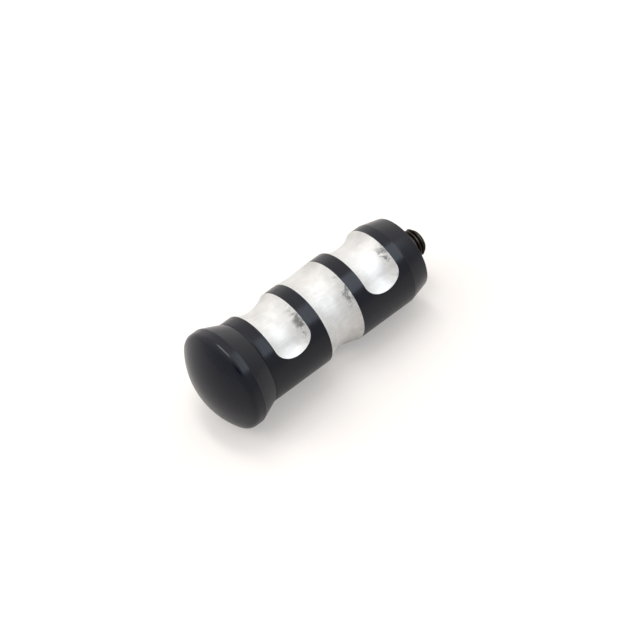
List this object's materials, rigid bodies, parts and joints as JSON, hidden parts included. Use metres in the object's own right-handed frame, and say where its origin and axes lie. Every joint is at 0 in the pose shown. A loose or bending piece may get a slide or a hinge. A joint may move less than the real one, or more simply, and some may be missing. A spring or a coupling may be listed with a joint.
{
  "type": "foot peg",
  "caption": "Motorcycle foot peg: round black aluminium sleeve with bright milled part-round grooves, a screw-in domed end cap and a through screw whose thread stands out of the inboard face.",
  "frame": {"origin": "centre of the inboard annular face, where the peg seats on its lever and the screw leaves it", "axes": "+X runs along the peg away from the lever, towards the domed cap. +Z is the upper side of the peg, midway between the ends of the grooves, and +Y is the side where the first and third grooves end high."},
  "size_m": [0.074, 0.0284, 0.0284],
  "materials": {
    "black_anodised": "satin black anodised, with the grooves milled through it to bright bare metal",
    "black_anodised_cap": "satin black anodised",
    "black_oxide_steel": "oiled black oxide",
    "zinc_steel": "bright zinc plated",
    "seal_rubber": "matt"
  },
  "bodies": {
    "peg": {"peg_body": "black_anodised"},
    "washers": {"flat_washer": "zinc_steel", "lock_washer": "zinc_steel"},
    "screw": {"mounting_screw": "black_oxide_steel"},
    "cap_seal": {"cap_seal_ring": "seal_rubber"},
    "cap": {"end_cap": "black_anodised_cap"}
  },
  "joints": [
    {"name": "screw_slide", "type": "slide", "parent": "peg", "child": "washers", "axis": [1, 0, 0], "range_m": [0, 0.011]},
    {"name": "screw_turn", "type": "hinge", "parent": "washers", "child": "screw", "pos_m": [0, 0, 0], "axis": [1, 0, 0], "continuous": true},
    {"name": "cap_travel", "type": "slide", "parent": "peg", "child": "cap_seal", "axis": [1, 0, 0], "range_m": [0, 0.0099]},
    {"name": "cap_turn", "type": "hinge", "parent": "cap_seal", "child": "cap", "pos_m": [0.0537, 0, 0], "axis": [1, 0, 0], "range_deg": [0, 2520]}
  ],
  "couplings": [
    {"joint": "cap_travel", "follows": "cap_turn", "m_per_rad": 0.00022459}
  ]
}
